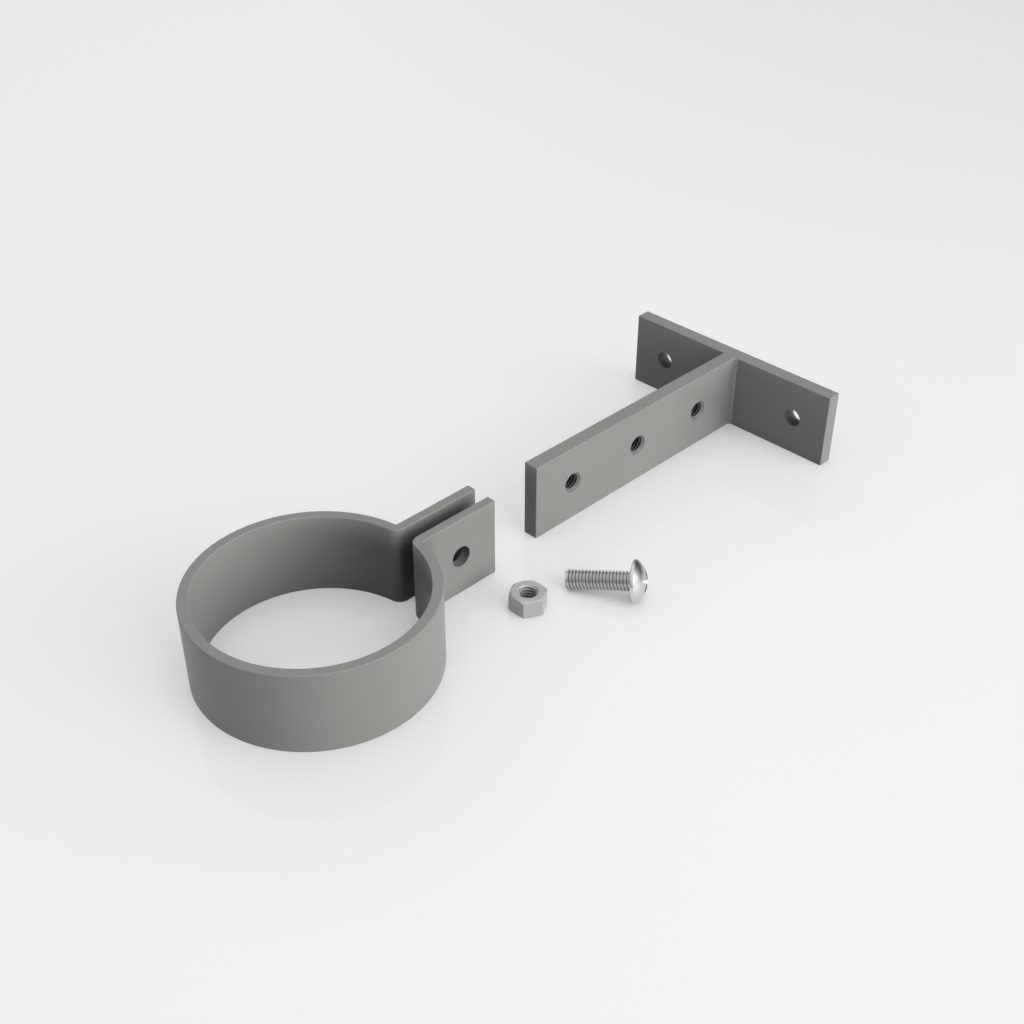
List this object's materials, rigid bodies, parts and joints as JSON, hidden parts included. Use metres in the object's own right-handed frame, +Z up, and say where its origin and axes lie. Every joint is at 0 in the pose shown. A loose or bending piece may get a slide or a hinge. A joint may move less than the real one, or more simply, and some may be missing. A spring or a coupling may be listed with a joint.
{
  "type": "pipe clip",
  "caption": "Open ring of flat bar that closes round a pipe and clamps by its ears to the stem of a T-shaped wall bracket, laid out apart with its screw and nut.",
  "frame": {"origin": "on the ring's axis, at the level of the surface that the pieces lie on", "axes": "+Z up along the pipe's axis, +X from the ring along the stem to the wall"},
  "size_m": [0.2155, 0.0866, 0.0254],
  "materials": {
    "grey_coat": "satin",
    "bright_plating": "gloss"
  },
  "bodies": {
    "root": {"clip_ring": "grey_coat", "stem_bar": "grey_coat", "wall_plate": "grey_coat", "weld_bead": "grey_coat", "clamp_screw": "bright_plating", "hex_nut": "bright_plating"}
  },
  "joints": []
}
